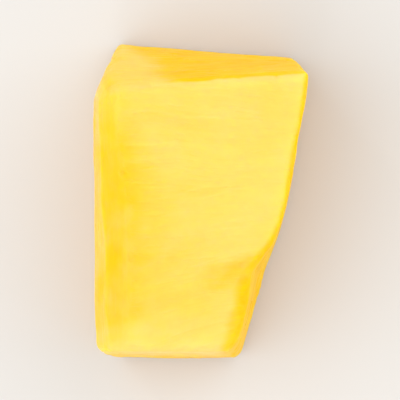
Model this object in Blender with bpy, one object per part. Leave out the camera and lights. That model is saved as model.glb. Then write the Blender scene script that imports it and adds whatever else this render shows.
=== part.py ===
"""A chunk of peeled mango flesh, cut with a knife and standing on one of its cut faces.

The peeled outside of the fruit is the rounded side at -X, and the cut beside the stone is at +X.
+Y runs to the slanted back cut, and +Z is up. Lengths are in metres, angles in radians.
"""

import math

import bmesh
import bpy
from mathutils import Vector, noise

# Driving dimensions: the block that the knife cut, before its edges softened. The cuts below stand
# at X and Y measured from the middle of its length and between its peeled side and far corner.
HALF_WIDTH = 0.0138
HALF_LENGTH = 0.0203
HEIGHT = 0.0242
HALVES = (HALF_WIDTH, HALF_LENGTH, HEIGHT / 2.0)

# The cut beside the stone (+X): where it stands at the front and back, at its foot and at its top.
STONE_FOOT_FRONT = 0.0034
STONE_FOOT_BACK = 0.0119
STONE_TOP_FRONT = 0.0026
STONE_TOP_BACK = 0.0146
STONE_FOOT_BELLY = 0.0026
STONE_TOP_BELLY = 0.0018
STONE_BELLY_LEAN = 0.35  # share by which the belly sits further back than the middle
STONE_HOLLOW = 0.0003  # how far the cut is dished between foot and top
STONE_TURN = 0.0021  # how far it turns out again at its front end, at the top
STONE_TURN_FOOT = 0.5  # share of that at the foot
STONE_TURN_END = 0.33  # share of its length at which the turn ends
STONE_SWELL = 0.0013  # how far it swells out behind the low step, at the top
STONE_SWELL_FOOT = 0.3  # share of that at the foot
STONE_SWELL_RISE = (0.27, 0.40)  # shares of its length over which the swell sets in
STONE_SWELL_EBB = (0.44, 0.75)  # and over which it fades

# The slanted back cut (+Y): its top edge and its foot, at the left and right ends.
BACK_TOP_LEFT = 0.0149
BACK_TOP_RIGHT = 0.0170
BACK_FOOT_LEFT = 0.0204
BACK_FOOT_RIGHT = 0.0183
BACK_BELLY = 0.0004

# The front cut (-Y), which leans out a little towards its foot.
FRONT_FOOT = -0.0212
FRONT_TOP = -0.0189
FRONT_BELLY = 0.00025

# The peeled side (-X): a round shoulder above WAIST, tucked in towards the foot below it.
PEEL_RADIUS = 0.01265
PEEL_AXIS = PEEL_RADIUS - HALF_WIDTH
WAIST = 0.0140
SHOULDER = 0.0213  # height at which the peeled side hands over to the top of the block
FOOT_TUCK = 0.0014
SHOULDER_RISE = 0.0020  # the shoulder stands higher towards the back, between these two Y
RISE_START = -0.0060
RISE_END = 0.0140
PEEL_CREST = 0.0050  # the Y at which the peeled side stands out furthest
FRONT_NARROWING = 0.0003  # how far it curves in from there to the front cut

# The slice that took off the upright corner between the peeled side and the back cut.
CORNER_START = 0.0127
CORNER_SLOPE = 0.53
CORNER_BLEND = 0.0010
CORNER_FOOT_SHARE = 0.10  # share of the depth of the slice that is left of it at the foot

# The top cut, its tilt, and the low step that crosses its front right quarter.
TOP_TILT_BACK = 0.020
TOP_TILT_RIGHT = 0.012
SHOULDER_BLEND = 0.0014
STEP_RIGHT = Vector((0.0088, -0.0064))
STEP_LEFT = Vector((-0.0036, -0.0102))
STEP_DEPTH = 0.00030
STEP_WIDTH = 0.0011
STEP_FADE = (-0.15, 0.75)  # shares of the step's length over which it deepens to the right
STEP_FALL = 0.050  # slope of the top from the step down to the front edge, at the right
STEP_FALL_LEFT = 0.020  # and at the left
MOUND = Vector((0.0008, -0.0128))
MOUND_RISE = 0.00022
MOUND_REACH = 0.0034

# Strokes of the peeler, which leave long flats along the peeled side.
STROKE_WIDTH = 0.0068
STROKE_FLAT = 0.00042
STROKE_LOW_SHARE = 0.35  # below the waist the side is flatter, and so are the flats
STROKE_CREASE = 0.12  # softness of the crease between two flats
STROKE_SLANT = 0.07  # the strokes climb by this share of their length
STROKE_UNEVEN = 0.35
STROKE_WAVER = 0.0011
STROKE_WAVER_SIZE = 0.010
STROKE_FADE = 0.0016  # the strokes end over this length where the back corner is sliced off

# Softened edges and the uneven surface of cut flesh.
EDGE_RADIUS = 0.00140
EDGE_UNEVEN = 0.38
EDGE_UNEVEN_SIZE = 0.0034
WAVER_SIZE = 0.0085
WAVER_DEPTH = 0.00022
GRAIN_SIZE = 0.0030
GRAIN_DEPTH = 0.00010
GRAIN_STONE_SIDE = 2.0  # the grain is this much deeper on the cut beside the stone
RELIEF_START = 0.0004  # the foot stays flat, and the relief sets in between these two heights
RELIEF_FULL = 0.0022
FOOT_LEVEL = 1e-7  # points lower than this are on the flat foot

# Cells between the softened edges, along X, Y and Z, and the turn between two lines on an edge.
CELLS = (20, 30, 16)
EDGE_TURNS = (0.0, math.radians(15), math.radians(30))
SHARP_ANGLE = math.radians(50)  # an edge that turns by more than this is shaded as a hard line

FLESH_COLOUR = (0.96, 0.66, 0.10, 1.0)
FLESH_ROUGHNESS = 0.38


def mix(low, high, share):
    return low + (high - low) * share


def ramp(value, start, end):
    """0 before start, 1 after end, and a smooth rise between them."""
    share = min(1.0, max(0.0, (value - start) / (end - start)))
    return share * share * (3.0 - 2.0 * share)


def smooth_min(a, b, blend):
    """The lower of two heights, with the crease between them rounded over the blend."""
    closeness = max(0.0, blend - abs(a - b)) / blend
    return min(a, b) - closeness * closeness * blend / 4.0


def belly(share, lean=0.0):
    """1 in the middle of a cut and 0 at its two ends, leaning towards the far end."""
    centred = 2.0 * share - 1.0
    return (1.0 - centred * centred) * (1.0 + lean * centred)


def stone_side(along, up):
    """X of the cut beside the stone, bowed along its length and slightly dished."""
    straight = mix(
        mix(STONE_FOOT_FRONT, STONE_FOOT_BACK, along),
        mix(STONE_TOP_FRONT, STONE_TOP_BACK, along),
        up,
    )
    bow = mix(STONE_FOOT_BELLY, STONE_TOP_BELLY, up) * belly(along, STONE_BELLY_LEAN)
    turn = STONE_TURN * mix(STONE_TURN_FOOT, 1.0, up) * (1.0 - ramp(along, 0.0, STONE_TURN_END))
    swell = STONE_SWELL * mix(STONE_SWELL_FOOT, 1.0, up) * ramp(along, *STONE_SWELL_RISE)
    swell *= 1.0 - ramp(along, *STONE_SWELL_EBB)
    return straight + bow + turn + swell - STONE_HOLLOW * belly(up)


def peel_narrowing(y, z):
    """How far the peeled side curves in to the front, and is sliced off at the back corner."""
    front = FRONT_NARROWING * (max(0.0, PEEL_CREST - y) / (PEEL_CREST + HALF_LENGTH)) ** 2
    past = max(0.0, y - CORNER_START)
    slice_depth = CORNER_SLOPE * past * past / (past + CORNER_BLEND)
    return front + slice_depth * mix(CORNER_FOOT_SHARE, 1.0, min(1.0, z / WAIST))


def stroke_depth(arc, y):
    """How deep the flat of a stroke lies under the round, at a length of arc above the waist."""
    waver = STROKE_WAVER * noise.noise(Vector((arc, y, 0.0)) / STROKE_WAVER_SIZE)
    place = (arc + waver + STROKE_SLANT * y) / STROKE_WIDTH
    stroke = math.floor(place)
    uneven = 1.0 + STROKE_UNEVEN * noise.noise(Vector((stroke, y / STROKE_WAVER_SIZE / 2.0, 0.5)))
    fade = 1.0 - ramp(y, CORNER_START, CORNER_START + STROKE_FADE)
    depth = STROKE_FLAT * mix(STROKE_LOW_SHARE, 1.0, ramp(arc, -STROKE_WIDTH, 0.0))
    flat = belly(place - stroke)
    return depth * uneven * fade * flat * flat / (flat + STROKE_CREASE)


def peeled_side(y, z):
    """X of the peeled side at a height up to the shoulder."""
    if z >= WAIST:
        arc = PEEL_RADIUS * math.asin((z - WAIST) / PEEL_RADIUS)
        x = PEEL_AXIS - math.sqrt((PEEL_RADIUS - stroke_depth(arc, y)) ** 2 - (z - WAIST) ** 2)
    else:
        x = -HALF_WIDTH + FOOT_TUCK * ((WAIST - z) / WAIST) ** 2 + stroke_depth(z - WAIST, y)
    return x + peel_narrowing(y, z)


def shoulder_height(x, y):
    """Z of the peeled side above the point where it hands over to the top of the block."""
    reach = min(x - peel_narrowing(y, SHOULDER), PEEL_AXIS) - PEEL_AXIS
    arc = PEEL_RADIUS * math.acos(min(1.0, -reach / PEEL_RADIUS))
    rise = math.sqrt(max(0.0, (PEEL_RADIUS - stroke_depth(arc, y)) ** 2 - reach**2))
    return WAIST + rise + SHOULDER_RISE * ramp(y, RISE_START, RISE_END)


def front_cut(across, up):
    """Y of the front cut."""
    return mix(FRONT_FOOT, FRONT_TOP, up) - FRONT_BELLY * belly(across) * belly(up)


def back_cut(across, up):
    """Y of the back cut, which leans out towards its foot."""
    foot = mix(BACK_FOOT_LEFT, BACK_FOOT_RIGHT, across)
    top = mix(BACK_TOP_LEFT, BACK_TOP_RIGHT, across)
    return mix(foot, top, up) + BACK_BELLY * belly(up)


def step_drop(x, y):
    """How far the low step and the fall in front of it lower the top cut."""
    run = STEP_RIGHT - STEP_LEFT
    offset = Vector((x, y)) - STEP_LEFT
    share = offset.dot(run) / run.length_squared
    ahead = (run.y * offset.x - run.x * offset.y) / run.length
    fade = ramp(share, *STEP_FADE)
    groove = STEP_DEPTH * math.exp(-((ahead / STEP_WIDTH) ** 2)) * fade
    return groove + mix(STEP_FALL_LEFT, STEP_FALL, fade) * max(0.0, ahead)


def top_height(x, y):
    """Z of the top cut, which rounds over into the shoulder of the peeled side."""
    cut = HEIGHT + TOP_TILT_BACK * y + TOP_TILT_RIGHT * x - step_drop(x, y)
    cut += MOUND_RISE * math.exp(-(Vector((x, y)) - MOUND).length_squared / MOUND_REACH**2)
    return smooth_min(cut, shoulder_height(x, y), SHOULDER_BLEND)


def block_point(across, along, up):
    """The point of the cut block at three shares: left to right, front to back and foot to top."""
    rim_y = mix(front_cut(across, 1.0), back_cut(across, 1.0), along)
    rim_x = mix(peeled_side(rim_y, SHOULDER), stone_side(along, 1.0), across)
    y = mix(front_cut(across, up), back_cut(across, up), along)
    x = mix(peeled_side(y, up * SHOULDER), stone_side(along, up), across)
    return Vector((x, y, up * top_height(rim_x, rim_y)))


def soften(box_point):
    """Moves a point of the straight-edged box onto the box with softened edges.

    The edge at the upper left stays square, because the shoulder rounds it.
    """
    radius = EDGE_RADIUS * (1.0 + EDGE_UNEVEN * noise.noise(box_point / EDGE_UNEVEN_SIZE))
    core = Vector([max(radius - half, min(half - radius, c)) for c, half in zip(box_point, HALVES)])
    out = box_point - core
    if box_point.x < 0.0 < box_point.z:
        sideways = max(abs(out.x), abs(out.z))
    else:
        sideways = math.hypot(out.x, out.z)
    reach = math.hypot(sideways, out.y)
    return core + out * (radius / reach) if reach > 0.0 else core


def line_places(half, cells):
    """Places of the grid lines along one axis, closer together where the edges are softened."""
    near = [half - EDGE_RADIUS * (1.0 - math.tan(math.radians(45) - turn)) for turn in EDGE_TURNS]
    core = half - EDGE_RADIUS
    inner = [mix(-core, core, i / cells) for i in range(cells + 1)]
    return [-place for place in near] + inner + near[::-1]


def block_grid(bm):
    """A box whose six sides are grids, its lines set close to the edges."""
    bmesh.ops.create_cube(bm, size=2.0)
    for axis, (half, cells) in enumerate(zip(HALVES, CELLS)):
        places = line_places(half, cells)
        spans = len(places) - 1
        edges = [
            edge for edge in bm.edges if abs(edge.verts[0].co[axis] - edge.verts[1].co[axis]) > 1.0
        ]
        bmesh.ops.subdivide_edges(bm, edges=edges, cuts=spans - 1, use_grid_fill=True)
        for vert in bm.verts:
            vert.co[axis] = places[round((vert.co[axis] + 1.0) / 2.0 * spans)]


def relief(point, beside_stone):
    """How far the uneven flesh stands out from the cut block. It is 0 at the foot."""
    waver = WAVER_DEPTH * noise.noise(point / WAVER_SIZE)
    grain = GRAIN_DEPTH * noise.noise(point / GRAIN_SIZE) * mix(1.0, GRAIN_STONE_SIDE, beside_stone)
    return (waver + grain) * ramp(point.z, RELIEF_START, RELIEF_FULL)


def cut_chunk(bm):
    """Shapes the grid into the block, then gives its surface the unevenness of cut flesh."""
    block_grid(bm)
    beside_stone = {}
    for vert in bm.verts:
        shares = [(place / half + 1.0) / 2.0 for place, half in zip(soften(vert.co.copy()), HALVES)]
        beside_stone[vert] = ramp(shares[0], 0.9, 1.0)
        vert.co = block_point(*shares)
    bm.normal_update()
    moves = {vert: vert.normal * relief(vert.co, beside_stone[vert]) for vert in bm.verts}
    for vert, move in moves.items():
        vert.co += move


def join_foot(bm):
    """Makes the flat foot one face."""
    foot = [face for face in bm.faces if all(abs(vert.co.z) < FOOT_LEVEL for vert in face.verts)]
    bmesh.ops.dissolve_faces(bm, faces=foot, use_verts=True)


def centre_on_foot(bm):
    """Puts the origin under the middle of the chunk, on the face that it stands on."""
    middle = [
        (min(vert.co[axis] for vert in bm.verts) + max(vert.co[axis] for vert in bm.verts)) / 2.0
        for axis in range(2)
    ]
    bmesh.ops.translate(bm, verts=bm.verts, vec=(-middle[0], -middle[1], 0.0))


def flesh_material():
    material = bpy.data.materials.new("mango_flesh")
    material.use_nodes = True
    shader = material.node_tree.nodes["Principled BSDF"]
    shader.inputs["Base Color"].default_value = FLESH_COLOUR
    shader.inputs["Roughness"].default_value = FLESH_ROUGHNESS
    shader.inputs["Metallic"].default_value = 0.0
    return material


def build_chunk():
    bm = bmesh.new()
    cut_chunk(bm)
    join_foot(bm)
    centre_on_foot(bm)
    mesh = bpy.data.meshes.new("mango_chunk")
    bm.to_mesh(mesh)
    bm.free()
    mesh.materials.append(flesh_material())
    mesh.shade_smooth()
    mesh.set_sharp_from_angle(angle=SHARP_ANGLE)
    chunk = bpy.data.objects.new("mango_chunk", mesh)
    bpy.context.scene.collection.objects.link(chunk)


def main():
    for obj in list(bpy.data.objects):
        bpy.data.objects.remove(obj, do_unlink=True)
    build_chunk()


main()
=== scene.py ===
"""A chunk of peeled mango flesh on a plain pale stage, seen from almost straight above.

The chunk stands on a cut face. The peeled outside of the fruit is the rounded side at -X, and the
cut beside the stone is at +X. +Y runs to the slanted back cut, and +Z is up. Lengths are in metres
and angles in radians, apart from the places that the finish reads, which are in millimetres.
"""

import math
from typing import NamedTuple

import bmesh
import bpy
from bpy.props import FloatProperty, FloatVectorProperty, PointerProperty
from mathutils import Matrix, Vector, noise


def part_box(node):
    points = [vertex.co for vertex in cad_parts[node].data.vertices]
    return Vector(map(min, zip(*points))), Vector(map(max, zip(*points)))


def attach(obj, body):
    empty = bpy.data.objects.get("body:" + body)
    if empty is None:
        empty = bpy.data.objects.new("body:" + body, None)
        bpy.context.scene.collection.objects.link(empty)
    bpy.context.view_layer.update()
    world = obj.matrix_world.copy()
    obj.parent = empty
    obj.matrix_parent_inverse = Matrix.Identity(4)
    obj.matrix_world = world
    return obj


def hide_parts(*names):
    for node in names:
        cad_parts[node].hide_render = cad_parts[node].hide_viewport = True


bl_info = {
    "name": "Mango Chunk",
    "version": (1, 0, 0),
    "blender": (4, 5, 0),
    "location": "View3D > Sidebar > Mango",
    "description": "Builds a chunk of peeled mango flesh and a plain studio stage for it",
    "category": "Add Mesh",
}

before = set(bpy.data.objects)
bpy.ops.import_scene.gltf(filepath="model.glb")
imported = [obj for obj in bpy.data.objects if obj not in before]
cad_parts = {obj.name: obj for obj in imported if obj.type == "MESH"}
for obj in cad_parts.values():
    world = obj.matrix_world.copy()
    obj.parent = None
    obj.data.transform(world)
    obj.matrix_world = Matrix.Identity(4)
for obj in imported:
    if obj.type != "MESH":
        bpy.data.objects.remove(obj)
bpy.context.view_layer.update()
NODE = "mango_chunk"
MM = 0.001

# The block that the knife cut, before its edges softened. The cuts below stand at X and Y measured
# from the middle of its length and between its peeled side and far corner.
HALF_WIDTH = 0.0138
HALF_LENGTH = 0.0203
HEIGHT = 0.0242
HALVES = (HALF_WIDTH, HALF_LENGTH, HEIGHT / 2.0)

# The cut beside the stone (+X): where it stands at the front and back, at its foot and at its top.
STONE_FOOT_FRONT = 0.0034
STONE_FOOT_BACK = 0.0119
STONE_TOP_FRONT = 0.0026
STONE_TOP_BACK = 0.0146
STONE_FOOT_BELLY = 0.0026
STONE_TOP_BELLY = 0.0018
STONE_BELLY_LEAN = 0.35  # share by which the belly sits further back than the middle
STONE_HOLLOW = 0.0003  # how far the cut is dished between foot and top
STONE_TURN = 0.0021  # how far it turns out again at its front end, at the top
STONE_TURN_FOOT = 0.5  # share of that at the foot
STONE_TURN_END = 0.33  # share of its length at which the turn ends
STONE_SWELL = 0.0013  # how far it swells out behind the low step, at the top
STONE_SWELL_FOOT = 0.3  # share of that at the foot
STONE_SWELL_RISE = (0.27, 0.40)  # shares of its length over which the swell sets in
STONE_SWELL_EBB = (0.44, 0.75)  # and over which it fades

# The slanted back cut (+Y): its top edge and its foot, at the left and right ends.
BACK_TOP_LEFT = 0.0149
BACK_TOP_RIGHT = 0.0170
BACK_FOOT_LEFT = 0.0204
BACK_FOOT_RIGHT = 0.0183
BACK_BELLY = 0.0004

# The front cut (-Y), which leans out a little towards its foot.
FRONT_FOOT = -0.0212
FRONT_TOP = -0.0189
FRONT_BELLY = 0.00025

# The peeled side (-X): a round shoulder above WAIST, tucked in towards the foot below it.
PEEL_RADIUS = 0.01265
PEEL_AXIS = PEEL_RADIUS - HALF_WIDTH
WAIST = 0.0140
SHOULDER = 0.0213  # height at which the peeled side hands over to the top of the block
FOOT_TUCK = 0.0014
SHOULDER_RISE = 0.0020  # the shoulder stands higher towards the back, between these two Y
RISE_START = -0.0060
RISE_END = 0.0140
PEEL_CREST = 0.0050  # the Y at which the peeled side stands out furthest
FRONT_NARROWING = 0.0003  # how far it curves in from there to the front cut

# The slice that took off the upright corner between the peeled side and the back cut.
CORNER_START = 0.0127
CORNER_SLOPE = 0.53
CORNER_BLEND = 0.0010
CORNER_FOOT_SHARE = 0.10  # share of the depth of the slice that is left of it at the foot

# The top cut, its tilt, and the low step that crosses its front right quarter.
TOP_TILT_BACK = 0.020
TOP_TILT_RIGHT = 0.012
SHOULDER_BLEND = 0.0014
STEP_RIGHT = Vector((0.0088, -0.0064))
STEP_LEFT = Vector((-0.0036, -0.0102))
STEP_DEPTH = 0.00030
STEP_WIDTH = 0.0011
STEP_FADE = (-0.15, 0.75)  # shares of the step's length over which it deepens to the right
STEP_FALL = 0.050  # slope of the top from the step down to the front edge, at the right
STEP_FALL_LEFT = 0.020  # and at the left
MOUND = Vector((0.0008, -0.0128))
MOUND_RISE = 0.00022
MOUND_REACH = 0.0034

# Strokes of the peeler, which leave long flats along the peeled side.
STROKE_LOW_SHARE = 0.35  # below the waist the side is flatter, and so are the flats
STROKE_CREASE = 0.12  # softness of the crease between two flats
STROKE_SLANT = 0.07  # the strokes climb by this share of their length
STROKE_UNEVEN = 0.35
STROKE_WAVER = 0.0011
STROKE_WAVER_SIZE = 0.010
STROKE_FADE = 0.0016  # the strokes end over this length where the back corner is sliced off

# The large unevenness of cut flesh, which sets in between two heights above the flat foot.
EDGE_UNEVEN_SIZE = 0.0034
WAVER_SIZE = 0.0085
WAVER_DEPTH = 0.00022
GRAIN_SIZE = 0.0030
GRAIN_DEPTH = 0.00010
GRAIN_STONE_SIDE = 2.0  # the grain is this much deeper on the cut beside the stone
RELIEF_START = 0.0004
RELIEF_FULL = 0.0022

# The fibres fan out from a point beyond the stone. Beside the stone, and under the peel, they run
# along Y. They stand out of the flesh as thin ridges, in patches.
FIBRE_SOURCE = Vector((0.085, 0.005))
FIBRE_SIZES = (0.0130, 0.0013, 0.0013)
LENGTHWISE_SIZES = (0.0010, 0.0140, 0.0010)
FIBRE_RIDGE = 0.17
FIBRE_SWELL = 0.55  # height of the soft swells between the ridges, as a share of theirs
FIBRE_WAVER = 0.0006
FIBRE_WAVER_SIZE = 0.0065
FIBRE_PATCH = 0.0052
FIBRE_PATCH_LEAST = 0.20
FIBRE_PATCH_NOISE = (-0.3, 0.4)  # levels of the noise between which a patch sets in
FIBROUS_TOP = 0.8  # how strongly the fibres show on the top cut
FIBROUS_UPRIGHT = 1.5  # on the upright cuts
FIBROUS_PEELED = 0.4  # and on the peeled side

# Drag marks of the knife: long shallow waves along each cut.
DRAG_SIZE = 0.0019
DRAG_LENGTH = 0.030
DRAG_TURN = (HEIGHT - 0.0016, HEIGHT - 0.0004)  # heights over which they turn onto the top cut

# Small chips along the edges of the cuts, and pits where a strand was pulled out.
RIM_REACH = 0.0011  # how far an edge between two cuts reaches
CREASE_REACH = 0.00055  # the same for the crease between the top cut and the shoulder
CREASE_FROM = 0.97  # share of the height above which that crease lies
NICK_SIZE = 0.0016
NICK_NOISE = (0.22, 0.75)  # levels of the noise between which a chip grows to its full depth
PIT_SPACING = 0.0024
PIT_WIDTH = 0.00048
PIT_WIDTH_SHARES = (0.6, 1.4)  # the smallest and the largest pit, as shares of that width
PIT_CHANCE_SCALE = 9.7  # carries the middle of each pit to a cell of its own in a random pattern
PIT_SHARE_STONE = 0.45
PIT_SHARE_CUT = 0.10

# Shares of the width and the length over which a point comes to lie on an upright cut.
ON_STONE_CUT = (0.93, 0.985)
ON_FRONT_CUT = (0.0075, 0.05)  # over these it leaves the front cut
ON_BACK_CUT = (0.95, 0.9925)
COARSE_BESIDE_STONE = (0.9, 1.0)  # over which the grain grows coarser and the pits more frequent
LENGTHWISE_BESIDE_STONE = (0.975, 0.995)  # and over which the fibres come to run along Y

# Where the flesh is golden for other reasons than the peel: beside the stone, and on the back cut,
# which nears the stone at its right. The golden tint in the low step and on the lower part of the
# front cut is painted shade, and on the back cut it is partly painted shade.
STONE_GOLDEN_FRONT = 0.0032
STONE_GOLDEN_BACK = 0.0012
STONE_GOLDEN_END = 0.60  # share of the length at which the reach is down to the latter
STEP_PAINTED_SHADE = (-0.0016, 0.0004, 0.0012, 0.0052)  # places in front of the step: it starts, and ends
STEP_PAINTED_SHADE_SHARE = 0.66
STEP_PAINTED_SHADE_HEIGHT = (0.9, 1.0)  # shares of the height over which it sets in
BACK_GOLDEN_AND_SHADE = (0.985, 0.998)  # shares of the length over which the back cut turns golden
BACK_GOLDEN_AND_SHADE_TOP = (0.14, 0.46)  # shares of the width over which it sets in, at the top
BACK_GOLDEN_AND_SHADE_FOOT = (-0.05, 0.27)  # and at the foot
FRONT_PAINTED_SHADE = (0.002, 0.020)  # shares of the length over which the front cut stops being golden
FRONT_PAINTED_SHADE_SHARE = 0.72
FRONT_PAINTED_SHADE_RIM = (0.30, 0.92)  # shares of the height over which it ends
GOLDEN_WAVER = 0.0024  # how far the borders of the golden flesh wander
GOLDEN_WAVER_SIZE = 0.0060

# The peeler went deeper towards the two ends of its strokes, where the flesh is paler.
PEELED_DEEPER = 0.0016
PEELED_DEEPER_FRONT = (-0.0175, -0.0142)
PEELED_DEEPER_BACK = (0.0070, 0.0150)
RIM_HIGHLIGHT_REACH = 0.0022  # a highlight is painted as paler flesh this near to the front and back edges of the top

# Shares of the film of juice that the cut beside the stone, the front and the back cut have lost.
DRYNESS = (0.90, 0.55, 1.0)

# Fine lines that the peeler dragged along the peeled side.
PEEL_LINE_SIZE = 0.00062
PEEL_LINE_LENGTH = 0.0110
PEELED_DEPTH = (0.000385, 0.000715)  # depths under the round over which the peeled surface ends

EDGE_LINES = 4  # grid lines on each half of a softened edge
FOOT_LEVEL = 1e-7  # points lower than this are on the flat foot

# What the finish reads at each point of the flesh, apart from its place among the fibres.
# Of these, rim is where a highlight is painted, and golden also carries painted shade.
FINISH_LAYERS = ("peel_depth", "golden", "rim", "dryness", "fibrous", "lengthwise", "strand")

# Patterns in the flesh: large clouds and small mottles, the cells, and the threads across and along
# the chunk, whose sizes are in millimetres.
CLOUD_SIZE = 0.0065
MOTTLE_SIZE = 0.0024
CELL_SIZE = 0.00045
THREADS = (14.0, 0.8, 0.8)
THREADS_LENGTHWISE = (0.7, 15.0, 0.7)
BAND_SHARE = 2.4  # the bands are this much larger than the threads
FINE_SHARE = 0.42  # and the fine threads are this share of them

# Depths in millimetres under the peeled side at which the flesh changes from golden to pale.
DEPTH_REACH = 14.0
DEPTHS = (0.0, 0.7, 1.6, 2.9, 9.0)
OUTER_PALE = 0.62  # share of the way from the outer to the pale flesh at the fourth of them
DEPTH_CLOUDS = 1.5  # spans over which the patterns make a depth count for more or less
DEPTH_MOTTLES = 0.8
DEPTH_THREADS = 0.5
DEPTH_UNEVEN = (0.2, 3.0)  # depths over which they begin to do so

# The border of the golden flesh, and the spans over which the patterns shift it.
GOLDEN_BORDER = (0.15, 0.85)
GOLDEN_MOTTLES = 0.6
GOLDEN_THREADS = 0.4

# What the pale patches are made of, and how much paler they and the rest make the flesh.
PATCH_CLOUDS = 0.7
PATCH_MOTTLES = 0.3
PATCH_BORDER = (0.46, 0.70)
PALE_PATCHES = 0.18
PALE_LINES = 0.07
PALE_STRANDS = 0.08
PALE_LOST_IN_GOLDEN = 0.5  # share of those three that golden flesh loses
# The rims get a painted highlight, as paler flesh.
RIM_PAINTED_HIGHLIGHT = 0.36

# Spans over which threads and bands make the flesh lighter and darker, and how much painted shade
# darkens the rims that carry the painted highlight.
LIGHT_FIBROUS_THREADS = 0.08
LIGHT_GOLDEN_THREADS = 0.20
LIGHT_BANDS = 0.10
LIGHT_GOLDEN_BANDS = 0.16
RIM_PAINTED_SHADE = 0.05

# The film of juice lies in patches that the fine threads break up. Both change the roughness too,
# and the strands are smoother.
FILM_SIZE = 0.0045
FILM_PATCHES = 0.65
FILM_THREADS = 0.35
FILM_BORDER = (0.34, 0.60)
ROUGH_PATCHES = 0.30
ROUGH_THREADS = 0.20
SMOOTH_STRANDS = 0.06

# What the small bump is made of.
BUMP_THREADS = 0.9
BUMP_FINE_THREADS = 0.8
BUMP_LINES = 0.35
BUMP_CELLS = 0.25

# The thin lines between threads: how far from its middle level the threads' noise still draws one,
# in the colour and in the bump.
LINE_WIDTH = 0.05
BUMP_LINE_WIDTH = 0.06

# What is the same all over the flesh and the floor. The flesh mirrors through its film above all.
FLESH_SHADER = {
    "Subsurface Weight": 1.0,
    "Subsurface Scale": 1.0,
    "IOR": 1.38,
    "Specular IOR Level": 0.02,
    "Coat Roughness": 0.16,
    "Coat IOR": 1.5,
}
FLOOR_SHADER = {
    "Roughness": 0.85,
    "Specular IOR Level": 0.0,
}
FLOOR_PATCH = 0.25
FLOOR_UNEVEN = 0.02

# The camera stands almost straight above.
CAMERA_TARGET = Vector((-0.0004, 0.00055, 0.012))
CAMERA_OFFSET = Vector((0.046, 0.027, 0.788))
SENSOR_WIDTH = 36.0
CLIP = (0.01, 20.0)

# Directions of the two wide lamps, and of the small ones, which the moist film mirrors.
KEY = (-0.50, -0.20, 0.85)
FILL = (0.66, 0.50, 0.45)
GLINTS = ((-0.60, 0.66, 0.44), (-0.13, -0.68, 0.72), (0.85, -0.45, 0.25))
FLOOR_HALF = 6.0
FLOOR_CELLS = 8
FLOOR_GAP = 0.00005


class MangoCut(bpy.types.PropertyGroup):
    """How the knife and the peeler shaped the chunk."""

    cell_size: FloatProperty(
        name="Cell size", description="Distance between two grid lines on a cut",
        default=0.00022, min=0.00015, max=0.002, precision=5, unit="LENGTH",
    )
    edge_radius: FloatProperty(
        name="Edge radius", description="Radius of the softened edges between two cuts",
        default=0.00140, min=0.0002, max=0.0025, precision=5, unit="LENGTH",
    )
    edge_unevenness: FloatProperty(
        name="Edge unevenness", description="Share by which that radius varies along an edge",
        default=0.38, min=0.0, max=0.8, subtype="FACTOR",
    )
    stroke_width: FloatProperty(
        name="Peeler stroke", description="Width of one stroke of the peeler",
        default=0.0068, min=0.003, max=0.02, precision=4, unit="LENGTH",
    )
    stroke_flat: FloatProperty(
        name="Stroke depth", description="How deep the flat of a stroke lies under the round",
        default=0.00042, min=0.0, max=0.001, precision=5, unit="LENGTH",
    )


class MangoSurface(bpy.types.PropertyGroup):
    """The fine relief of the flesh."""

    fibre_depth: FloatProperty(
        name="Fibres", description="Height of the fibres that stand out of a cut",
        default=0.000060, min=0.0, max=0.0002, precision=6, unit="LENGTH",
    )
    drag_depth: FloatProperty(
        name="Knife marks", description="Depth of the waves that the knife dragged into a cut",
        default=0.000030, min=0.0, max=0.0002, precision=6, unit="LENGTH",
    )
    nick_depth: FloatProperty(
        name="Nicks", description="Depth of the chips along the edges",
        default=0.00022, min=0.0, max=0.0006, precision=5, unit="LENGTH",
    )
    pit_depth: FloatProperty(
        name="Pits", description="Depth of the pits where a strand was pulled out",
        default=0.00014, min=0.0, max=0.0004, precision=5, unit="LENGTH",
    )
    peel_line_depth: FloatProperty(
        name="Peeler lines", description="Depth of the fine lines along the peeled side",
        default=0.000018, min=0.0, max=0.0001, precision=6, unit="LENGTH",
    )
    bump: FloatProperty(
        name="Cell bump", description="Height of the cells and threads that only the light shows",
        default=0.00005, min=0.0, max=0.0002, precision=6, unit="LENGTH",
    )
    roughness: FloatProperty(
        name="Roughness", description="Mean roughness of the moist flesh",
        default=0.36, min=0.05, max=1.0, subtype="FACTOR",
    )
    wetness: FloatProperty(
        name="Wetness", description="Share of the surface under a film of juice",
        default=0.45, min=0.0, max=1.0, subtype="FACTOR",
    )


class MangoColours(bpy.types.PropertyGroup):
    """Colours of the flesh from the peeled side to the stone."""

    peeled: FloatVectorProperty(
        name="Under the peel", description="Golden flesh straight under the peel",
        default=(0.95, 0.455, 0.006), min=0.0, max=1.0, subtype="COLOR",
    )
    outer: FloatVectorProperty(
        name="Outer flesh", description="Flesh a few millimetres under the peel",
        default=(0.94, 0.495, 0.045), min=0.0, max=1.0, subtype="COLOR",
    )
    core: FloatVectorProperty(
        name="Pale flesh", description="Palest flesh, halfway to the stone",
        default=(0.95, 0.532, 0.098), min=0.0, max=1.0, subtype="COLOR",
    )
    stone: FloatVectorProperty(
        name="Beside the stone", description="Deep golden flesh at the cut beside the stone",
        default=(0.94, 0.450, 0.004), min=0.0, max=1.0, subtype="COLOR",
    )
    cloud: FloatVectorProperty(
        name="Clouds", description="Milky patches in the flesh",
        default=(0.95, 0.565, 0.22), min=0.0, max=1.0, subtype="COLOR",
    )
    translucency: FloatVectorProperty(
        name="Translucency", description="How far red, green and blue light travel in the flesh",
        default=(0.0042, 0.0024, 0.0005), min=0.0001, max=0.01, precision=5, subtype="XYZ_LENGTH",
    )


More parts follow.
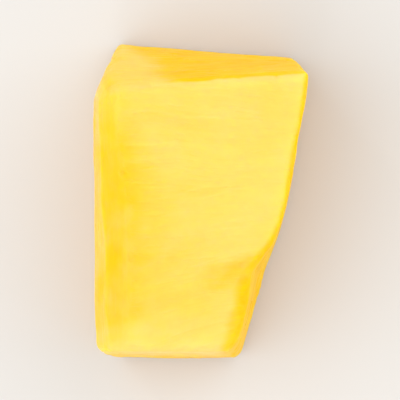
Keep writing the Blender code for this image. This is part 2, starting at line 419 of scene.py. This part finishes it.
class MangoStudio(bpy.types.PropertyGroup):
    """The stage and its soft light."""

    floor: FloatVectorProperty(
        name="Floor", description="Colour of the floor",
        default=(0.56, 0.552, 0.538), min=0.0, max=1.0, subtype="COLOR",
    )
    sky: FloatVectorProperty(
        name="Room", description="Colour of the light that comes from all round",
        default=(1.0, 0.99, 0.97), min=0.0, max=1.0, subtype="COLOR",
    )
    sky_strength: FloatProperty(
        name="Room light", description="Strength of the light that comes from all round",
        default=0.90, min=0.0, max=5.0,
    )
    key_strength: FloatProperty(
        name="Key light", description="Strength of the lamp at the front left",
        default=1.8, min=0.0, max=20.0,
    )
    fill_strength: FloatProperty(
        name="Fill light", description="Strength of the lamp at the right",
        default=1.2, min=0.0, max=20.0,
    )
    glint_strength: FloatProperty(
        name="Glint", description="Strength of the small lamps, which the moist film mirrors",
        default=0.17, min=0.0, max=20.0,
    )
    softness: FloatProperty(
        name="Softness", description="How wide the key and the fill look from the chunk",
        default=math.radians(75), min=0.0, max=math.pi, subtype="ANGLE",
    )
    glint_width: FloatProperty(
        name="Glint width", description="How wide the small lamps look from the chunk",
        default=math.radians(7), min=0.0, max=math.pi, subtype="ANGLE",
    )
    frame_width: FloatProperty(
        name="Frame width", description="Width that the camera shows at the middle of the chunk",
        default=0.052, min=0.03, max=0.5, precision=4, unit="LENGTH",
    )


def mix(low, high, share):
    return low + (high - low) * share


def ramp(value, start, end):
    """0 before start, 1 after end, and a smooth rise between them."""
    share = min(1.0, max(0.0, (value - start) / (end - start)))
    return share * share * (3.0 - 2.0 * share)


def smooth_min(a, b, blend):
    """The lower of two heights, with the crease between them rounded over the blend."""
    closeness = max(0.0, blend - abs(a - b)) / blend
    return min(a, b) - closeness * closeness * blend / 4.0


def belly(share, lean=0.0):
    """1 in the middle of a cut and 0 at its two ends, leaning towards the far end."""
    centred = 2.0 * share - 1.0
    return (1.0 - centred * centred) * (1.0 + lean * centred)


def stone_side(along, up):
    """X of the cut beside the stone, bowed along its length and slightly dished."""
    straight = mix(
        mix(STONE_FOOT_FRONT, STONE_FOOT_BACK, along),
        mix(STONE_TOP_FRONT, STONE_TOP_BACK, along),
        up,
    )
    bow = mix(STONE_FOOT_BELLY, STONE_TOP_BELLY, up) * belly(along, STONE_BELLY_LEAN)
    turn = STONE_TURN * mix(STONE_TURN_FOOT, 1.0, up) * (1.0 - ramp(along, 0.0, STONE_TURN_END))
    swell = STONE_SWELL * mix(STONE_SWELL_FOOT, 1.0, up) * ramp(along, *STONE_SWELL_RISE)
    swell *= 1.0 - ramp(along, *STONE_SWELL_EBB)
    return straight + bow + turn + swell - STONE_HOLLOW * belly(up)


def peel_narrowing(y, z):
    """How far the peeled side curves in to the front, and is sliced off at the back corner."""
    front = FRONT_NARROWING * (max(0.0, PEEL_CREST - y) / (PEEL_CREST + HALF_LENGTH)) ** 2
    past = max(0.0, y - CORNER_START)
    slice_depth = CORNER_SLOPE * past * past / (past + CORNER_BLEND)
    return front + slice_depth * mix(CORNER_FOOT_SHARE, 1.0, min(1.0, z / WAIST))


def stroke_depth(cut, arc, y):
    """How deep the flat of a stroke lies under the round, at a length of arc above the waist."""
    waver = STROKE_WAVER * noise.noise(Vector((arc, y, 0.0)) / STROKE_WAVER_SIZE)
    place = (arc + waver + STROKE_SLANT * y) / cut.stroke_width
    stroke = math.floor(place)
    uneven = 1.0 + STROKE_UNEVEN * noise.noise(Vector((stroke, y / STROKE_WAVER_SIZE / 2.0, 0.5)))
    fade = 1.0 - ramp(y, CORNER_START, CORNER_START + STROKE_FADE)
    depth = cut.stroke_flat * mix(STROKE_LOW_SHARE, 1.0, ramp(arc, -cut.stroke_width, 0.0))
    flat = belly(place - stroke)
    return depth * uneven * fade * flat * flat / (flat + STROKE_CREASE)


def peeled_side(cut, y, z):
    """X of the peeled side at a height up to the shoulder."""
    if z >= WAIST:
        arc = PEEL_RADIUS * math.asin((z - WAIST) / PEEL_RADIUS)
        reach = (PEEL_RADIUS - stroke_depth(cut, arc, y)) ** 2 - (z - WAIST) ** 2
        x = PEEL_AXIS - math.sqrt(reach)
    else:
        tuck = FOOT_TUCK * ((WAIST - z) / WAIST) ** 2
        x = -HALF_WIDTH + tuck + stroke_depth(cut, z - WAIST, y)
    return x + peel_narrowing(y, z)


def shoulder_height(cut, x, y):
    """Z of the peeled side above the point where it hands over to the top of the block."""
    reach = min(x - peel_narrowing(y, SHOULDER), PEEL_AXIS) - PEEL_AXIS
    arc = PEEL_RADIUS * math.acos(min(1.0, -reach / PEEL_RADIUS))
    rise = math.sqrt(max(0.0, (PEEL_RADIUS - stroke_depth(cut, arc, y)) ** 2 - reach**2))
    return WAIST + rise + SHOULDER_RISE * ramp(y, RISE_START, RISE_END)


def front_cut(across, up):
    """Y of the front cut."""
    return mix(FRONT_FOOT, FRONT_TOP, up) - FRONT_BELLY * belly(across) * belly(up)


def back_cut(across, up):
    """Y of the back cut, which leans out towards its foot."""
    foot = mix(BACK_FOOT_LEFT, BACK_FOOT_RIGHT, across)
    top = mix(BACK_TOP_LEFT, BACK_TOP_RIGHT, across)
    return mix(foot, top, up) + BACK_BELLY * belly(up)


def step_place(x, y):
    """How far a point of the top lies in front of the low step, and how much of the step is there."""
    run = STEP_RIGHT - STEP_LEFT
    offset = Vector((x, y)) - STEP_LEFT
    ahead = (run.y * offset.x - run.x * offset.y) / run.length
    return ahead, ramp(offset.dot(run) / run.length_squared, *STEP_FADE)


def step_drop(x, y):
    """How far the low step and the fall in front of it lower the top cut."""
    ahead, fade = step_place(x, y)
    groove = STEP_DEPTH * math.exp(-((ahead / STEP_WIDTH) ** 2)) * fade
    return groove + mix(STEP_FALL_LEFT, STEP_FALL, fade) * max(0.0, ahead)


def cut_height(x, y):
    """Z of the top cut where no shoulder meets it."""
    height = HEIGHT + TOP_TILT_BACK * y + TOP_TILT_RIGHT * x - step_drop(x, y)
    return height + MOUND_RISE * math.exp(-(Vector((x, y)) - MOUND).length_squared / MOUND_REACH**2)


def block_point(cut, across, along, up):
    """The point of the cut block at three shares: left to right, front to back and foot to top."""
    rim_y = mix(front_cut(across, 1.0), back_cut(across, 1.0), along)
    rim_x = mix(peeled_side(cut, rim_y, SHOULDER), stone_side(along, 1.0), across)
    y = mix(front_cut(across, up), back_cut(across, up), along)
    x = mix(peeled_side(cut, y, up * SHOULDER), stone_side(along, up), across)
    top = smooth_min(cut_height(rim_x, rim_y), shoulder_height(cut, rim_x, rim_y), SHOULDER_BLEND)
    return Vector((x, y, up * top))


def soften(cut, box_point):
    """Moves a point of the straight-edged box onto the box with softened edges.

    The edge at the upper left stays square, because the shoulder rounds it.
    """
    uneven = cut.edge_unevenness * noise.noise(box_point / EDGE_UNEVEN_SIZE)
    radius = cut.edge_radius * (1.0 + uneven)
    core = Vector([max(radius - half, min(half - radius, c)) for c, half in zip(box_point, HALVES)])
    out = box_point - core
    if box_point.x < 0.0 < box_point.z:
        sideways = max(abs(out.x), abs(out.z))
    else:
        sideways = math.hypot(out.x, out.z)
    reach = math.hypot(sideways, out.y)
    return core + out * (radius / reach) if reach > 0.0 else core


def line_places(cut, half):
    """Places of the grid lines along one axis, closer together where the edges are softened."""
    turns = [math.radians(45) * i / EDGE_LINES for i in range(EDGE_LINES)]
    near = [half - cut.edge_radius * (1.0 - math.tan(math.radians(45) - turn)) for turn in turns]
    core = half - cut.edge_radius
    cells = round(2.0 * core / cut.cell_size)
    inner = [mix(-core, core, i / cells) for i in range(cells + 1)]
    return [-place for place in near] + inner + near[::-1]


def block_grid(bm, cut):
    """A box whose six sides are grids, its lines set close to the edges."""
    bmesh.ops.create_cube(bm, size=2.0)
    for axis, half in enumerate(HALVES):
        places = line_places(cut, half)
        spans = len(places) - 1
        edges = [
            edge for edge in bm.edges if abs(edge.verts[0].co[axis] - edge.verts[1].co[axis]) > 1.0
        ]
        bmesh.ops.subdivide_edges(bm, edges=edges, cuts=spans - 1, use_grid_fill=True)
        for vert in bm.verts:
            vert.co[axis] = places[round((vert.co[axis] + 1.0) / 2.0 * spans)]


def join_foot(bm):
    """Makes the flat foot one face."""
    foot = [face for face in bm.faces if all(abs(vert.co.z) < FOOT_LEVEL for vert in face.verts)]
    bmesh.ops.dissolve_faces(bm, faces=foot, use_verts=True)


def peel_depth(point):
    """How deep a point lies under the round of the peeled fruit."""
    x = point.x - peel_narrowing(point.y, point.z)
    if point.z < WAIST:
        return x + HALF_WIDTH - FOOT_TUCK * ((WAIST - point.z) / WAIST) ** 2
    rise = SHOULDER_RISE * ramp(point.y, RISE_START, RISE_END) * ramp(point.z, WAIST, SHOULDER)
    round_depth = PEEL_RADIUS - math.hypot(min(0.0, x - PEEL_AXIS), point.z - rise - WAIST)
    return round_depth + max(0.0, x - PEEL_AXIS)


def deeper_peeling(point, waver):
    """How much more flesh the peeler took off towards the two ends of its strokes."""
    y = point.y + waver
    ends = 1.0 - ramp(y, *PEELED_DEEPER_FRONT) + ramp(y, *PEELED_DEEPER_BACK)
    return PEELED_DEEPER * ends


def golden_and_shade_share(point, waver, across, along, up):
    """How golden the flesh is for other reasons than the peel, 0 to 1: beside the stone, and as
    painted shade in the step, on the front cut and partly on the back cut.
    """
    # In front of the step, where the top falls away, the golden tint is painted shade, and it also
    # widens the golden flesh beside the stone.
    ahead, fade = step_place(point.x, point.y)
    begin, full, ebb, end = STEP_PAINTED_SHADE
    step = STEP_PAINTED_SHADE_SHARE * fade * ramp(ahead, begin, full) * (1.0 - ramp(ahead, ebb, end))
    gap = stone_side(along, up) - point.x
    reach = mix(STONE_GOLDEN_FRONT, STONE_GOLDEN_BACK, ramp(along, 0.0, STONE_GOLDEN_END))
    beside_stone = 1.0 - ramp(gap, 0.0, reach * (1.0 + step))
    # On the back cut the golden tint is partly golden flesh towards the stone and partly painted
    # shade.
    start, end = [mix(foot, top, up) for foot, top in zip(BACK_GOLDEN_AND_SHADE_FOOT, BACK_GOLDEN_AND_SHADE_TOP)]
    on_back = ramp(along, *BACK_GOLDEN_AND_SHADE) * ramp(across + waver / HALF_WIDTH / 2.0, start, end)
    # On the lower part of the front cut the golden tint is painted shade.
    on_front = FRONT_PAINTED_SHADE_SHARE * (1.0 - ramp(along, *FRONT_PAINTED_SHADE))
    on_front *= 1.0 - ramp(up, *FRONT_PAINTED_SHADE_RIM)
    return max(beside_stone, step * ramp(up, *STEP_PAINTED_SHADE_HEIGHT), on_back, on_front)


def box_gaps(box_point):
    """How far a point of the straight-edged box lies from its sides along X, Y and Z."""
    return [half - abs(place) for place, half in zip(box_point, HALVES)]


def edge_closeness(cut, box_point, point, up):
    """1 on an edge between two cuts or on the crease with the shoulder, and 0 away from them."""
    gap_x, gap_y, gap_z = box_gaps(box_point)
    gaps = [gap_x + gap_y, gap_y + gap_z]
    if not box_point.x < 0.0 < box_point.z:
        gaps.append(gap_x + gap_z)
    closeness = 1.0 - ramp(min(gaps), 0.0, RIM_REACH)
    if up <= CREASE_FROM:
        return closeness
    crease = abs(cut_height(point.x, point.y) - shoulder_height(cut, point.x, point.y))
    return max(closeness, 1.0 - ramp(crease, 0.0, CREASE_REACH))


def rim_painted_highlight(box_point):
    """1 on the front and back edges of the top cut, where a highlight is painted as paler flesh."""
    if box_point.z < 0.0:
        return 0.0
    gaps = box_gaps(box_point)
    return 1.0 - ramp(gaps[1] + gaps[2], 0.0, RIM_HIGHLIGHT_REACH)


def upright_shares(across, along):
    """How far a point lies on the cut beside the stone, on the front cut and on the back cut."""
    on_front = 1.0 - ramp(along, *ON_FRONT_CUT)
    return ramp(across, *ON_STONE_CUT), on_front, ramp(along, *ON_BACK_CUT)


def fibre_place(point):
    """A point's place among the fibres: along them, and across them in two directions."""
    away = Vector((FIBRE_SOURCE.x - point.x, point.y - FIBRE_SOURCE.y))
    spread = math.atan2(away.y, away.x) * FIBRE_SOURCE.x
    waver = FIBRE_WAVER * noise.noise(point / FIBRE_WAVER_SIZE)
    return Vector((away.length, spread + waver, point.z + waver))


def ridges(place, sizes):
    """Thin ridges, and soft swells between them, long in the direction of the largest size."""
    swell = noise.noise(Vector([c / size for c, size in zip(place, sizes)]))
    return 1.0 - ramp(abs(swell), 0.0, FIBRE_RIDGE), swell


def fibres(place, point, lengthwise):
    """The ridge and the swell of the fibres at a point, faded in patches."""
    level = noise.noise(point / FIBRE_PATCH)
    patch = mix(FIBRE_PATCH_LEAST, 1.0, ramp(level, *FIBRE_PATCH_NOISE))
    waved = point + Vector((1.0, 0.0, 1.0)) * FIBRE_WAVER * noise.noise(point / FIBRE_WAVER_SIZE)
    across = ridges(place, FIBRE_SIZES)
    along = ridges(waved, LENGTHWISE_SIZES)
    return [mix(a, b, lengthwise) * patch for a, b in zip(across, along)]


def drag_relief(point, across_cut):
    """Waves that the blade left, long in the direction of its stroke."""
    place = Vector((point.x / DRAG_LENGTH, point.y / DRAG_LENGTH, across_cut / DRAG_SIZE))
    return noise.noise(place)


def nick_relief(point, rim):
    """Chips along an edge, 0 to 1."""
    return rim * ramp(noise.noise(point / NICK_SIZE), *NICK_NOISE)


def pit_relief(point, share):
    """Pits in a share of the cells of a loose pattern, 0 to 1."""
    distances, centres = noise.voronoi(point / PIT_SPACING)
    chance = (noise.cell(centres[0] * PIT_CHANCE_SCALE) + 1.0) / 2.0
    if chance > share:
        return 0.0
    width = PIT_WIDTH * mix(*PIT_WIDTH_SHARES, chance / share)
    return 1.0 - ramp(distances[0] * PIT_SPACING, 0.0, width)


def peel_line_relief(point):
    """Fine lines along the stroke of the peeler."""
    place = Vector((point.x / PEEL_LINE_SIZE, point.y / PEEL_LINE_LENGTH, point.z / PEEL_LINE_SIZE))
    return noise.noise(place)


class Mark(NamedTuple):
    """What the relief reads at a point."""

    beside_stone: float
    rim: float
    peeled: float
    fibrous: float
    ridge: float
    swell: float


def relief(surface, point, mark):
    """How far the uneven flesh stands out from the cut block. It is 0 at the foot."""
    lift = WAVER_DEPTH * noise.noise(point / WAVER_SIZE)
    coarseness = mix(1.0, GRAIN_STONE_SIDE, mark.beside_stone)
    lift += GRAIN_DEPTH * noise.noise(point / GRAIN_SIZE) * coarseness
    lift += surface.fibre_depth * mark.fibrous * (mark.ridge + FIBRE_SWELL * mark.swell)
    cut_share = 1.0 - mark.peeled
    across_cut = mix(point.z, point.y, ramp(point.z, *DRAG_TURN))
    lift += surface.drag_depth * drag_relief(point, across_cut) * cut_share * (1.0 - mark.rim)
    lift -= surface.nick_depth * nick_relief(point, mark.rim)
    pit_share = mix(PIT_SHARE_CUT, PIT_SHARE_STONE, mark.beside_stone)
    lift -= surface.pit_depth * pit_relief(point, pit_share) * cut_share
    lift += surface.peel_line_depth * peel_line_relief(point) * mark.peeled
    return lift * ramp(point.z, RELIEF_START, RELIEF_FULL)


def shape_chunk(bm, cut, surface):
    """Shapes the grid into the block, writes what the finish reads, and adds the relief."""
    block_grid(bm, cut)
    places = bm.verts.layers.float_vector.new("fibre_place")
    layers = {name: bm.verts.layers.float.new(name) for name in FINISH_LAYERS}
    marks = {}
    for vert in bm.verts:
        box_point = vert.co.copy()
        soft = soften(cut, box_point)
        across, along, up = [(place / half + 1.0) / 2.0 for place, half in zip(soft, HALVES)]
        point = block_point(cut, across, along, up)
        vert.co = point
        depth = peel_depth(point)
        peeled = 1.0 - ramp(depth, *PEELED_DEPTH)
        lengthwise = max(peeled, ramp(across, *LENGTHWISE_BESIDE_STONE))
        place = fibre_place(point)
        ridge, swell = fibres(place, point, lengthwise)
        waver = GOLDEN_WAVER * noise.noise(point / GOLDEN_WAVER_SIZE)
        uprights = upright_shares(across, along)
        cut_fibrous = mix(FIBROUS_TOP, FIBROUS_UPRIGHT, max(uprights))
        finish = {
            "peel_depth": (depth + deeper_peeling(point, waver)) / MM,
            "golden": golden_and_shade_share(point, waver, across, along, up),
            # rim is where the finish paints a highlight on the front and back edges of the top
            "rim": rim_painted_highlight(box_point),
            "dryness": max(dry * share for dry, share in zip(DRYNESS, uprights)),
            "fibrous": mix(cut_fibrous, FIBROUS_PEELED, peeled),
            "lengthwise": lengthwise,
            "strand": ridge,
        }
        vert[places] = place / MM
        for name, value in finish.items():
            vert[layers[name]] = value
        marks[vert] = Mark(
            beside_stone=ramp(across, *COARSE_BESIDE_STONE),
            rim=edge_closeness(cut, box_point, point, up),
            peeled=peeled,
            fibrous=finish["fibrous"],
            ridge=ridge,
            swell=swell,
        )
    join_foot(bm)
    bm.normal_update()
    moves = {vert: vert.normal * relief(surface, vert.co, marks[vert]) for vert in bm.verts}
    for vert, move in moves.items():
        vert.co += move


def fit_to_box(bm, low, high):
    """Moves the chunk, whose foot is already on the floor, to the middle of its solid's box in X and
    Y.
    """
    shift = Vector((0.0, 0.0, 0.0))
    for axis in range(2):
        places = [vert.co[axis] for vert in bm.verts]
        shift[axis] = (low[axis] + high[axis] - min(places) - max(places)) / 2.0
    bmesh.ops.translate(bm, verts=bm.verts, vec=shift)


def mesh_piece(name, bm, material):
    """Turns a finished bmesh into an object at the origin."""
    mesh = bpy.data.meshes.new(name)
    bm.to_mesh(mesh)
    bm.free()
    mesh.materials.append(material)
    mesh.shade_smooth()
    piece = bpy.data.objects.new(name, mesh)
    bpy.context.scene.collection.objects.link(piece)
    return piece


class Value:
    """An output of a shader node. Arithmetic on it adds Math nodes."""

    def __init__(self, recipe, socket):
        self.recipe = recipe
        self.socket = socket

    def math(self, operation, first, second):
        inputs = {"Value": first, "Value_001": second}
        return self.recipe.add("ShaderNodeMath", {"operation": operation}, inputs)

    def __add__(self, other):
        return self.math("ADD", self, other)

    def __radd__(self, other):
        return self.math("ADD", other, self)

    def __sub__(self, other):
        return self.math("SUBTRACT", self, other)

    def __rsub__(self, other):
        return self.math("SUBTRACT", other, self)

    def __mul__(self, other):
        return self.math("MULTIPLY", self, other)

    def __rmul__(self, other):
        return self.math("MULTIPLY", other, self)

    def __abs__(self):
        return self.math("ABSOLUTE", self, 0.0)

    def sway(self, amount):
        """A noise from 0 to 1 as a swing round 0, to half this amount each way."""
        return (self - 0.5) * amount


class Recipe:
    """A material and the nodes that it is made of."""

    def __init__(self, name):
        self.material = bpy.data.materials.new(name)
        self.material.use_nodes = True
        self.tree = self.material.node_tree
        self.shader = self.tree.nodes["Principled BSDF"]

    def add(self, kind, settings=None, inputs=None, output=None):
        """Adds a node with its settings first, then the values or links of its sockets."""
        node = self.tree.nodes.new(kind)
        for name, setting in (settings or {}).items():
            if name == "stops":
                self.set_stops(node.color_ramp, setting)
            else:
                setattr(node, name, setting)
        for key, source in (inputs or {}).items():
            self.feed(next(s for s in node.inputs if s.identifier == key), source)
        outputs = [s for s in node.outputs if s.enabled and output in (None, s.identifier)]
        return Value(self, outputs[0])

    def feed(self, socket, source):
        """Links a value to a socket, or sets the socket itself."""
        if isinstance(source, Value):
            self.tree.links.new(source.socket, socket)
        else:
            socket.default_value = source

    def set_stops(self, ramp_shape, stops):
        """Sets a ramp's stops from pairs of a place and a colour."""
        while len(ramp_shape.elements) < len(stops):
            ramp_shape.elements.new(1.0)
        for element, (place, colour) in zip(ramp_shape.elements, stops):
            element.position = place
            element.color = (*colour, 1.0)

    def set_shader(self, settings):
        """Sets the shader's own sockets, for what is the same all over the surface."""
        for name, setting in settings.items():
            self.shader.inputs[name].default_value = setting

    def attribute(self, name, output="Fac"):
        """What was written into the mesh under this name."""
        return self.add("ShaderNodeAttribute", {"attribute_name": name}, output=output)

    def speckle(self, vector, size, detail=2.0):
        """Soft noise from 0 to 1, with features of about this size."""
        inputs = {"Vector": vector, "Scale": 1.0 / size, "Detail": detail}
        return self.add("ShaderNodeTexNoise", {"noise_dimensions": "3D"}, inputs, "Fac")

    def stretch(self, vector, sizes):
        """A place measured in units of three sizes."""
        scale = tuple(1.0 / size for size in sizes)
        inputs = {"Vector": vector, "Vector_001": scale}
        return self.add("ShaderNodeVectorMath", {"operation": "MULTIPLY"}, inputs, "Vector")

    def rise(self, value, start, end):
        """0 before start, 1 after end, and a smooth rise between them."""
        settings = {"interpolation_type": "SMOOTHSTEP", "clamp": True}
        inputs = {"Value": value, "From Min": start, "From Max": end}
        return self.add("ShaderNodeMapRange", settings, inputs, "Result")

    def line(self, level, width):
        """Thin lines, 1 where a noise is at its middle level and 0 this far from it."""
        return 1.0 - self.rise(abs(level - 0.5), 0.0, width)

    def tint(self, base, other, share):
        """A colour turned towards another by a share."""
        inputs = {"Factor_Float": share, "A_Color": base, "B_Color": other}
        return self.add("ShaderNodeMix", {"data_type": "RGBA"}, inputs, "Result_Color")

    def shade(self, base, value):
        """A colour made brighter or darker by a value round 1."""
        inputs = {"Vector": base, "Scale": value}
        return self.add("ShaderNodeVectorMath", {"operation": "SCALE"}, inputs, "Vector")


def thread_noise(recipe, place, fibres, lengthwise, share=1.0, detail=2.0):
    """Noise drawn out along the fibres, from the two directions that they run in."""
    across = recipe.speckle(recipe.stretch(fibres, [size * share for size in THREADS]), 1.0, detail)
    sizes = [size * share * MM for size in THREADS_LENGTHWISE]
    along = recipe.speckle(recipe.stretch(place, sizes), 1.0, detail)
    return across + (along - across) * lengthwise


def flesh_colour(recipe, colours, place, fibres, lengthwise, threads, strand):
    """Golden under the peel and beside the stone, pale between them, with clouds and threads, golden
    tints of painted shade, and a painted highlight along the front and back edges of the top.
    """
    clouds = recipe.speckle(place, CLOUD_SIZE, detail=3.0)
    mottles = recipe.speckle(place, MOTTLE_SIZE, detail=3.0)
    bands = thread_noise(recipe, place, fibres, lengthwise, BAND_SHARE)
    depth = recipe.attribute("peel_depth")
    uneven = clouds.sway(DEPTH_CLOUDS) + mottles.sway(DEPTH_MOTTLES) + threads.sway(DEPTH_THREADS)
    depth = (depth + uneven * recipe.rise(depth, *DEPTH_UNEVEN)) * (1.0 / DEPTH_REACH)
    outer_pale = [mix(outer, core, OUTER_PALE) for outer, core in zip(colours.outer, colours.core)]
    shades = (colours.peeled, colours.peeled, colours.outer, outer_pale, colours.core)
    stops = [(deep / DEPTH_REACH, shade) for deep, shade in zip(DEPTHS, shades)]
    colour = recipe.add("ShaderNodeValToRGB", {"stops": stops}, {"Fac": depth}, "Color")
    # The golden layer turns the flesh deep golden, and in the step, on the front cut and partly on
    # the back cut that tint is painted shade.
    golden = recipe.attribute("golden") + mottles.sway(GOLDEN_MOTTLES)
    golden = recipe.rise(golden + threads.sway(GOLDEN_THREADS), *GOLDEN_BORDER)
    colour = recipe.tint(colour, (*colours.stone, 1.0), golden)
    fibrous = recipe.attribute("fibrous")
    patches = recipe.rise(mottles * PATCH_MOTTLES + clouds * PATCH_CLOUDS, *PATCH_BORDER)
    # A painted highlight along the front and back edges of the top, which painted shade then darkens
    # a little.
    rim = recipe.attribute("rim") * (1.0 - golden)
    lines = recipe.line(threads, LINE_WIDTH) * PALE_LINES + strand * PALE_STRANDS
    pale = patches * PALE_PATCHES + lines * fibrous
    pale = pale * (1.0 - golden * PALE_LOST_IN_GOLDEN) + rim * RIM_PAINTED_HIGHLIGHT
    colour = recipe.tint(colour, (*colours.cloud, 1.0), pale)
    thread_light = fibrous * LIGHT_FIBROUS_THREADS + golden * LIGHT_GOLDEN_THREADS
    band_light = golden * LIGHT_GOLDEN_BANDS + LIGHT_BANDS
    light = threads.sway(thread_light) + bands.sway(band_light) - rim * RIM_PAINTED_SHADE + 1.0
    return recipe.shade(colour, light)


def flesh_material(colours, surface):
    """Moist, translucent mango flesh."""
    recipe = Recipe("mango_flesh")
    place = recipe.add("ShaderNodeTexCoord", output="Object")
    fibres = recipe.attribute("fibre_place", "Vector")
    lengthwise = recipe.attribute("lengthwise")
    strand = recipe.attribute("strand")
    threads = thread_noise(recipe, place, fibres, lengthwise, detail=3.0)
    fine = thread_noise(recipe, place, fibres, lengthwise, FINE_SHARE)
    shader = recipe.shader
    shader.subsurface_method = "RANDOM_WALK"
    recipe.set_shader({**FLESH_SHADER, "Subsurface Radius": colours.translucency})
    colour = flesh_colour(recipe, colours, place, fibres, lengthwise, threads, strand)
    recipe.feed(shader.inputs["Base Color"], colour)
    film = recipe.speckle(place, FILM_SIZE, detail=4.0)
    rough = film.sway(ROUGH_PATCHES) + fine.sway(ROUGH_THREADS) - strand * SMOOTH_STRANDS
    recipe.feed(shader.inputs["Roughness"], rough + surface.roughness)
    wet = recipe.rise(film * FILM_PATCHES + fine * FILM_THREADS, *FILM_BORDER)
    wet = wet * (1.0 - recipe.attribute("dryness"))
    recipe.feed(shader.inputs["Coat Weight"], wet * surface.wetness)
    inputs = {"Vector": place, "Scale": 1.0 / CELL_SIZE}
    cells = recipe.add("ShaderNodeTexVoronoi", {"feature": "SMOOTH_F1"}, inputs, "Distance")
    height = threads * BUMP_THREADS + fine * BUMP_FINE_THREADS - cells * BUMP_CELLS
    height = height + recipe.line(threads, BUMP_LINE_WIDTH) * BUMP_LINES
    inputs = {"Distance": surface.bump, "Height": height}
    recipe.feed(shader.inputs["Normal"], recipe.add("ShaderNodeBump", None, inputs, "Normal"))
    return recipe.material


def floor_material(studio):
    """Smooth pale board with a faint unevenness."""
    recipe = Recipe("pale_board")
    place = recipe.add("ShaderNodeTexCoord", output="Object")
    light = recipe.speckle(place, FLOOR_PATCH).sway(FLOOR_UNEVEN) + 1.0
    recipe.feed(recipe.shader.inputs["Base Color"], recipe.shade(tuple(studio.floor), light))
    recipe.set_shader(FLOOR_SHADER)
    return recipe.material


def floor_piece(studio):
    """The floor, a hair under the foot of the chunk."""
    bm = bmesh.new()
    bmesh.ops.create_grid(bm, x_segments=FLOOR_CELLS, y_segments=FLOOR_CELLS, size=FLOOR_HALF)
    bmesh.ops.translate(bm, verts=bm.verts, vec=(0.0, 0.0, -FLOOR_GAP))
    return mesh_piece("studio_floor", bm, floor_material(studio))


def room_light(studio):
    """Even light from all round."""
    world = bpy.data.worlds.new("room")
    world.use_nodes = True
    background = world.node_tree.nodes["Background"]
    background.inputs["Color"].default_value = (*studio.sky, 1.0)
    background.inputs["Strength"].default_value = studio.sky_strength
    bpy.context.scene.world = world


def lamp(name, towards, strength, width):
    """A far lamp that shines from a direction, and looks this wide from the chunk."""
    light = bpy.data.lights.new(name, "SUN")
    light.energy = strength
    light.angle = width
    holder = bpy.data.objects.new(name, light)
    holder.rotation_mode = "QUATERNION"
    holder.rotation_quaternion = Vector(towards).to_track_quat("Z", "Y")
    bpy.context.scene.collection.objects.link(holder)


def camera(studio):
    """The camera, almost straight above, with the back of the chunk up."""
    data = bpy.data.cameras.new("camera")
    holder = bpy.data.objects.new("camera", data)
    look = -CAMERA_OFFSET.normalized()
    right = look.cross(Vector((0.0, 1.0, 0.0))).normalized()
    turn = Matrix((right, right.cross(look), -look)).transposed().to_4x4()
    holder.matrix_world = Matrix.Translation(CAMERA_TARGET + CAMERA_OFFSET) @ turn
    data.sensor_width = SENSOR_WIDTH
    data.lens = SENSOR_WIDTH * CAMERA_OFFSET.length / studio.frame_width
    data.clip_start, data.clip_end = CLIP
    bpy.context.scene.collection.objects.link(holder)
    bpy.context.scene.camera = holder


class MANGO_OT_cut_chunk(bpy.types.Operator):
    """Build the chunk of flesh in place of its plain solid"""

    bl_idname = "mango.cut_chunk"
    bl_label = "Cut the chunk"
    bl_options = {"REGISTER", "UNDO"}

    def execute(self, context):
        scene = context.scene
        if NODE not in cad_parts:
            raise RuntimeError(f"the frame has no node {NODE} to stand in for")
        bm = bmesh.new()
        shape_chunk(bm, scene.mango_cut, scene.mango_surface)
        fit_to_box(bm, *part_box(NODE))
        material = flesh_material(scene.mango_colours, scene.mango_surface)
        chunk = mesh_piece("mango_flesh", bm, material)
        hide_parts(NODE)
        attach(chunk, "root")
        return {"FINISHED"}


class MANGO_OT_set_stage(bpy.types.Operator):
    """Set up the floor, the soft light and the camera"""

    bl_idname = "mango.set_stage"
    bl_label = "Set the stage"
    bl_options = {"REGISTER", "UNDO"}

    def execute(self, context):
        studio = context.scene.mango_studio
        floor_piece(studio)
        room_light(studio)
        lamp("key", KEY, studio.key_strength, studio.softness)
        lamp("fill", FILL, studio.fill_strength, studio.softness)
        for number, towards in enumerate(GLINTS):
            lamp(f"glint_{number}", towards, studio.glint_strength, studio.glint_width)
        camera(studio)
        context.scene.view_settings.view_transform = "Standard"
        return {"FINISHED"}


class MANGO_PT_builder(bpy.types.Panel):
    """Settings and operators of the mango chunk"""

    bl_label = "Mango chunk"
    bl_idname = "MANGO_PT_builder"
    bl_space_type = "VIEW_3D"
    bl_region_type = "UI"
    bl_category = "Mango"

    def draw(self, context):
        for label, group in (
            ("Cut", context.scene.mango_cut),
            ("Surface", context.scene.mango_surface),
            ("Colours", context.scene.mango_colours),
            ("Studio", context.scene.mango_studio),
        ):
            box = self.layout.box()
            box.label(text=label)
            for name in group.bl_rna.properties.keys():
                if name not in ("rna_type", "name"):
                    box.prop(group, name)
        self.layout.operator(MANGO_OT_cut_chunk.bl_idname)
        self.layout.operator(MANGO_OT_set_stage.bl_idname)


GROUPS = {
    "mango_cut": MangoCut,
    "mango_surface": MangoSurface,
    "mango_colours": MangoColours,
    "mango_studio": MangoStudio,
}
CLASSES = (*GROUPS.values(), MANGO_OT_cut_chunk, MANGO_OT_set_stage, MANGO_PT_builder)


def register():
    for cls in CLASSES:
        bpy.utils.register_class(cls)
    for name, group in GROUPS.items():
        setattr(bpy.types.Scene, name, PointerProperty(type=group))


def unregister():
    for name in GROUPS:
        delattr(bpy.types.Scene, name)
    for cls in reversed(CLASSES):
        bpy.utils.unregister_class(cls)


def main():
    register()
    bpy.ops.mango.cut_chunk()
    bpy.ops.mango.set_stage()


if __name__ == "__main__":
    main()
